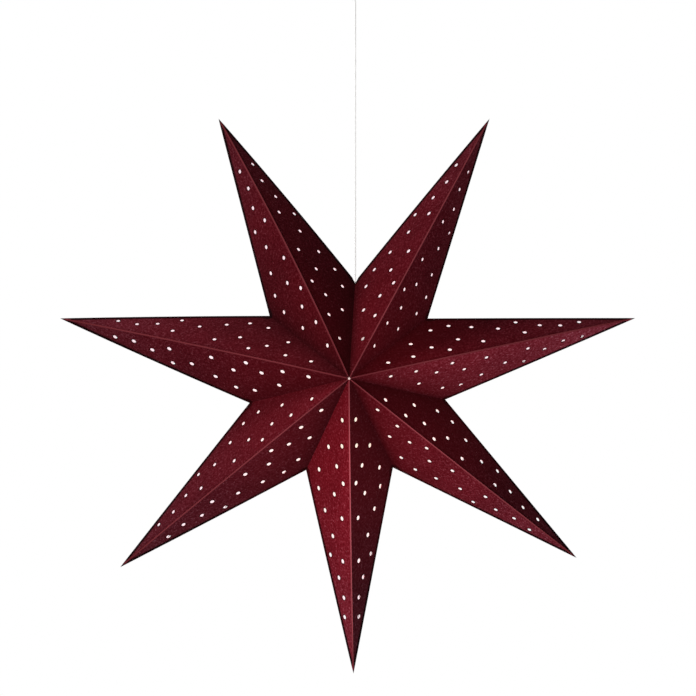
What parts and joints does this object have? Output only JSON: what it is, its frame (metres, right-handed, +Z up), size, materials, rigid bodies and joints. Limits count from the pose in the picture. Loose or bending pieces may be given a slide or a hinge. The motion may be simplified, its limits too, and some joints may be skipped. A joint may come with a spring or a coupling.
{
  "type": "led star light",
  "caption": "Folding card star lantern with punched velvet leaves, hung by a thin cord from a ceiling hook, with a battery lamp inside.",
  "frame": {"origin": "where the hook's collar meets the ceiling, on the hook's axis", "axes": "+Z up along the hook's shank, the star's plane is XZ and its front faces -Y"},
  "size_m": [0.585, 0.1586, 0.7757],
  "materials": {
    "velvet_card": "flocked velvet outside, white paper inside",
    "white_cord": "twisted cord",
    "hook_steel": "bright plated",
    "clip_steel": "spring steel",
    "yoke_plastic": "satin",
    "lamp_plastic": "satin",
    "cradle_plastic": "satin",
    "cell_jacket": "satin",
    "contact_metal": "plated",
    "lead_sleeve": "satin",
    "board_white": "white solder mask",
    "led_phosphor": "clear",
    "frosted_plastic": "frosted"
  },
  "bodies": {
    "hook": {"ceiling_hook": "hook_steel"},
    "ring": {"hanging_ring": "hook_steel"},
    "cord": {"cord_loop": "white_cord", "loop_knot": "white_cord", "hanging_cord": "white_cord", "stop_knot": "white_cord", "lamp_cord": "white_cord", "lamp_knot": "white_cord", "lamp_cap": "lamp_plastic"},
    "star": {"leaf_01": "velvet_card", "leaf_02": "velvet_card", "leaf_03": "velvet_card", "leaf_04": "velvet_card", "leaf_05": "velvet_card", "leaf_06": "velvet_card", "leaf_07": "velvet_card", "leaf_08": "velvet_card", "leaf_09": "velvet_card", "leaf_10": "velvet_card", "leaf_11": "velvet_card", "leaf_12": "velvet_card", "leaf_13": "velvet_card", "leaf_14": "velvet_card", "hanger_yoke": "yoke_plastic", "seam_clips": "clip_steel"},
    "lamp": {"battery_tube": "lamp_plastic", "battery_cradle": "cradle_plastic", "battery_cells": "cell_jacket", "contact_leaves": "contact_metal", "switch_body": "cradle_plastic", "lamp_collar": "lamp_plastic", "led_leads": "lead_sleeve", "led_board": "board_white", "led_chips": "led_phosphor"},
    "switch": {"switch_slider": "cradle_plastic"},
    "diffuser": {"diffuser": "frosted_plastic"}
  },
  "joints": [
    {"name": "ring_swing", "type": "hinge", "parent": "hook", "child": "ring", "pos_m": [0, 0, -0.027], "axis": [1, 0, 0], "range_deg": [-40, 40]},
    {"name": "cord_swing", "type": "hinge", "parent": "ring", "child": "cord", "pos_m": [0, 0, -0.0422], "axis": [0, 1, 0], "range_deg": [-40, 40]},
    {"name": "star_turn", "type": "hinge", "parent": "cord", "child": "star", "pos_m": [0, 0, -0.3532], "axis": [0, 0, 1], "continuous": true},
    {"name": "tube_twist", "type": "hinge", "parent": "cord", "child": "lamp", "pos_m": [0, 0, -0.4], "axis": [0, 0, 1], "range_deg": [0, 30]},
    {"name": "diffuser_twist", "type": "hinge", "parent": "lamp", "child": "diffuser", "pos_m": [0, 0, -0.472], "axis": [0, 0, 1], "range_deg": [0, 40]},
    {"name": "switch_slide", "type": "slide", "parent": "lamp", "child": "switch", "axis": [0, 0, 1], "range_m": [0, 0.004]}
  ]
}
